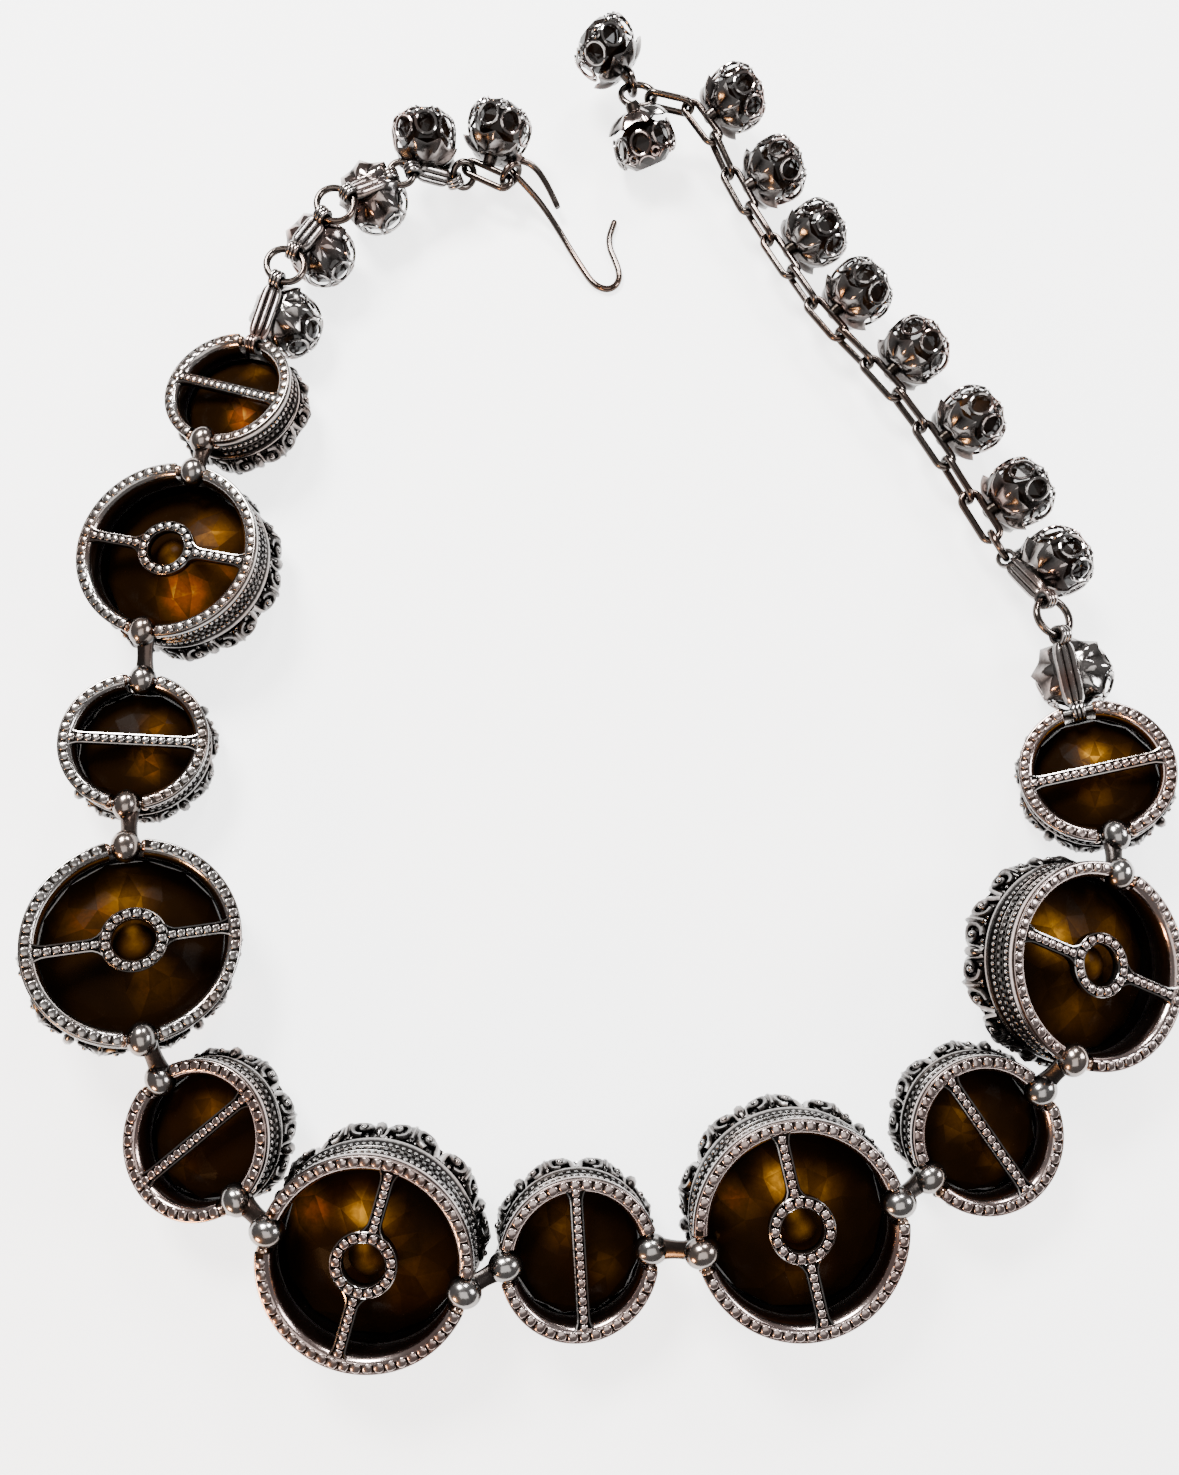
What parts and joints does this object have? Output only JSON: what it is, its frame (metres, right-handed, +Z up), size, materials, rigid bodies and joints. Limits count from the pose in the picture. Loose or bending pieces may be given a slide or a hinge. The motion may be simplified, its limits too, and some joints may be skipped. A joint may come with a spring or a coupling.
{
  "type": "rhinestone choker",
  "caption": "Choker of caged stones on hinge clips, with rhinestone cups on ribbed straps, a wire hook and a cable chain, lying open and face down.",
  "frame": {"origin": "centre of the choker's bounding box, on the surface it lies on", "axes": "+Z up from the surface, out of the open backs of the settings; +Y from the front of the choker toward its fastening; +X to the right, toward the cable chain, seen from above"},
  "size_m": [0.1213, 0.1588, 0.0157],
  "materials": {
    "cast_metal": "cast, antiqued with dark hollows and bright worn relief",
    "polished_metal": "polished dark nickel plating",
    "stamped_metal": "stamped, gunmetal plating with a copper tint",
    "wire_metal": "drawn wire, gunmetal plating",
    "caged_stone": "polished dark amber glass",
    "rhinestone": "polished dark amber glass"
  },
  "bodies": {
    "root": {"cage_1": "cast_metal", "cage_2": "cast_metal", "cage_3": "cast_metal", "cage_4": "cast_metal", "cage_5": "cast_metal", "cage_6": "cast_metal", "cage_7": "cast_metal", "cage_8": "cast_metal", "cage_9": "cast_metal", "cage_10": "cast_metal", "cage_11": "cast_metal", "stone_1": "caged_stone", "stone_2": "caged_stone", "stone_3": "caged_stone", "stone_4": "caged_stone", "stone_5": "caged_stone", "stone_6": "caged_stone", "stone_7": "caged_stone", "stone_8": "caged_stone", "stone_9": "caged_stone", "stone_10": "caged_stone", "stone_11": "caged_stone", "hinge_clip_1": "polished_metal", "hinge_clip_2": "polished_metal", "hinge_clip_3": "polished_metal", "hinge_clip_4": "polished_metal", "hinge_clip_5": "polished_metal", "hinge_clip_6": "polished_metal", "hinge_clip_7": "polished_metal", "hinge_clip_8": "polished_metal", "hinge_clip_9": "polished_metal", "hinge_clip_10": "polished_metal", "strap_1": "stamped_metal", "strap_2": "stamped_metal", "strap_3": "stamped_metal", "strap_4": "stamped_metal", "strap_5": "stamped_metal", "strap_6": "stamped_metal", "jump_ring_1": "wire_metal", "jump_ring_2": "wire_metal", "jump_ring_3": "wire_metal", "jump_ring_4": "wire_metal", "jump_ring_5": "wire_metal", "jump_ring_6": "wire_metal", "jump_ring_7": "wire_metal", "hook_link": "wire_metal", "hook": "wire_metal", "strap_stones": "rhinestone", "extension_chain": "wire_metal", "extension_stones": "rhinestone"}
  },
  "joints": []
}
